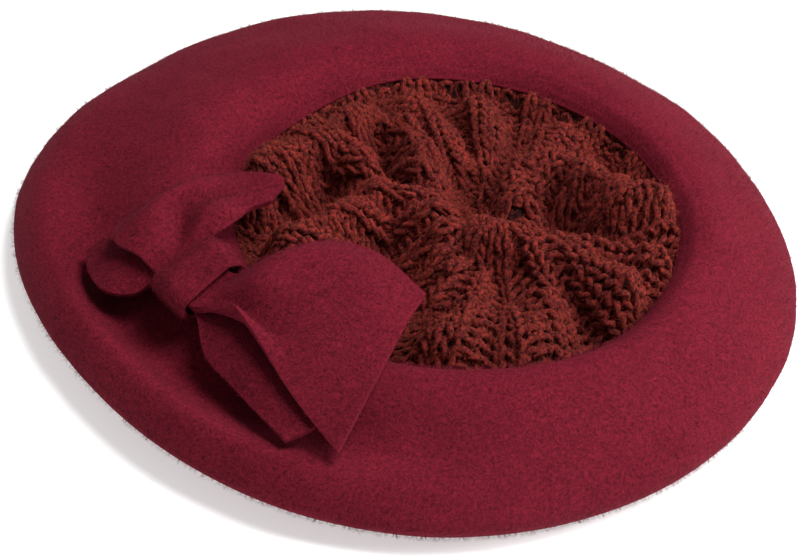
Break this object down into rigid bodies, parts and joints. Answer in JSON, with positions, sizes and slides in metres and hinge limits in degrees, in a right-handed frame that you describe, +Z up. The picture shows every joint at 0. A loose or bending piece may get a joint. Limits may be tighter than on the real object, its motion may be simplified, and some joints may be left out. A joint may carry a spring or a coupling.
{
  "type": "beret",
  "caption": "Wool felt beret with a rolled rim, a bunched rib-knit crown and a two-layer felt bow at the left front.",
  "frame": {"origin": "centre of the head opening, on the surface that the beret lies on", "axes": "+Z up out of the crown, +X towards the wearer's left as the beret is seen from the front with the bow at the lower left, +Y away from the viewer"},
  "size_m": [0.285, 0.285, 0.0534],
  "materials": {
    "felt": "fulled wool felt with a soft short nap, burgundy",
    "bow_felt": "cut wool felt, burgundy, edges left raw",
    "knit": "chunky rib knit in a brushed rust-brown wool yarn",
    "ribbon": "ribbed matte ribbon, dark burgundy",
    "thread": "matte sewing thread, burgundy"
  },
  "bodies": {
    "hat": {"felt_body": "felt", "knit_crown": "knit", "crown_gather_yarn": "knit", "crown_seam_stitches": "thread", "sweatband": "ribbon", "sweatband_stitches": "thread", "bow_upper_waist": "bow_felt", "bow_lower_waist": "bow_felt", "bow_waist_thread": "thread", "bow_knot": "bow_felt", "knot_seam_stitches": "thread", "bow_tack_stitches": "thread"},
    "left_wing": {"bow_upper_left_wing": "bow_felt", "bow_lower_left_wing": "bow_felt"},
    "right_wing": {"bow_upper_right_wing": "bow_felt", "bow_lower_right_wing": "bow_felt"}
  },
  "joints": [
    {"name": "left_wing_lift", "type": "hinge", "parent": "hat", "child": "left_wing", "pos_m": [-0.074, -0.056, 0.049], "axis": [0.9207, 0.3903, 0], "range_deg": [0, 45], "stiffness_Nm_per_rad": 0.02},
    {"name": "right_wing_lift", "type": "hinge", "parent": "hat", "child": "right_wing", "pos_m": [-0.053, -0.072, 0.0495], "axis": [-0.4512, -0.8924, 0], "range_deg": [0, 45], "stiffness_Nm_per_rad": 0.02}
  ]
}
